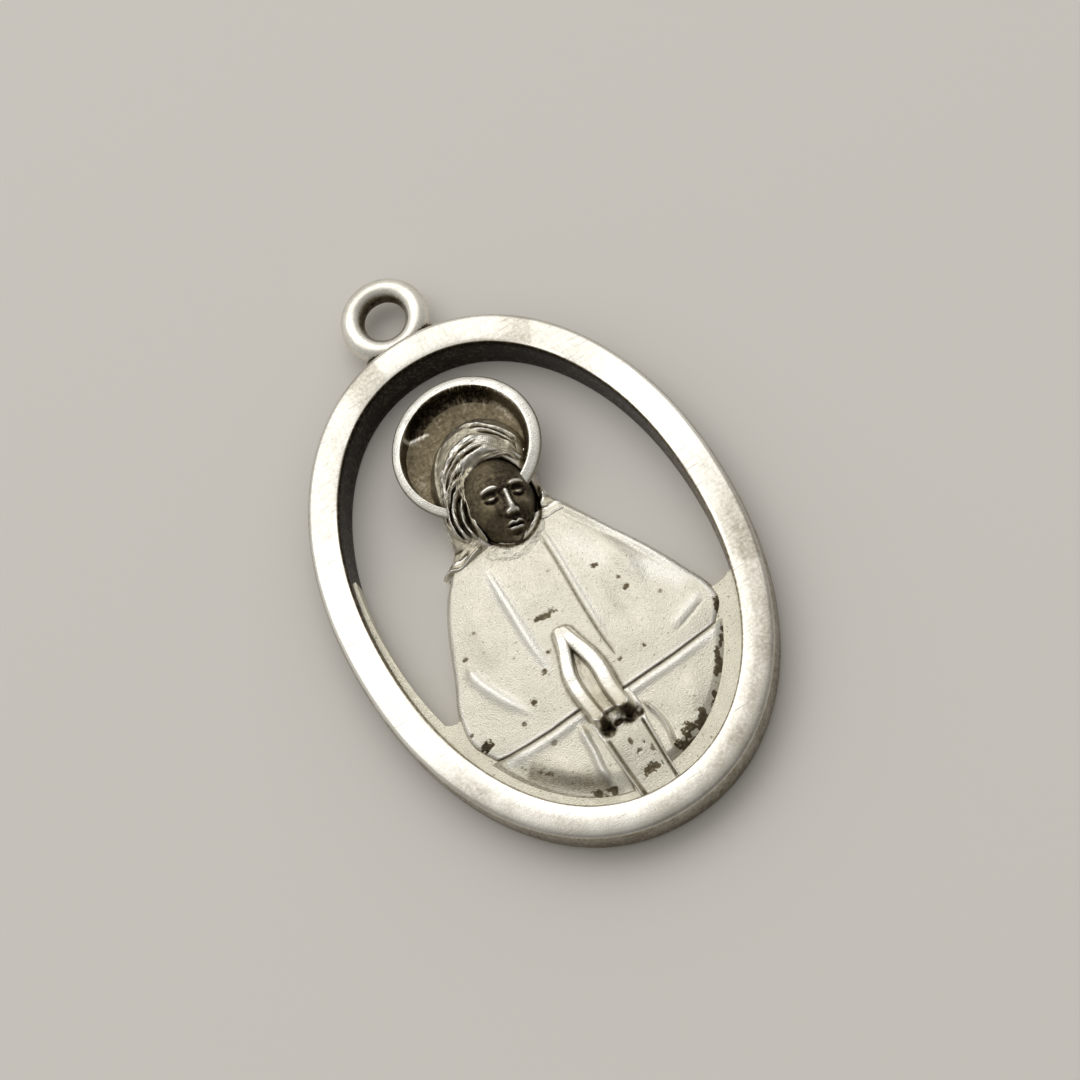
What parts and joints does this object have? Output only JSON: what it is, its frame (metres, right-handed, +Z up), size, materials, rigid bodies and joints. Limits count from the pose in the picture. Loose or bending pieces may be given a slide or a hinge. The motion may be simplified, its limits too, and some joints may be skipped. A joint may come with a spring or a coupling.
{
  "type": "religious medal pendant",
  "caption": "Oval open-frame silver medal pendant with a robed, veiled figure with joined hands and a halo in relief, and a round loop on top to hang it from.",
  "frame": {"origin": "centre of the bounding box's base: the medal lies on its flat back, the origin midway along its length with the loop counted in", "axes": "+X across the medal, to the right as the front is looked at; +Y along it, towards the loop; +Z up, out of the front"},
  "size_m": [0.0156, 0.025, 0.0027],
  "materials": {
    "silver": "solid silver: a polished frame, satin relief, and dark tarnish in the hollows"
  },
  "bodies": {
    "root": {"medal": "silver"}
  },
  "joints": []
}
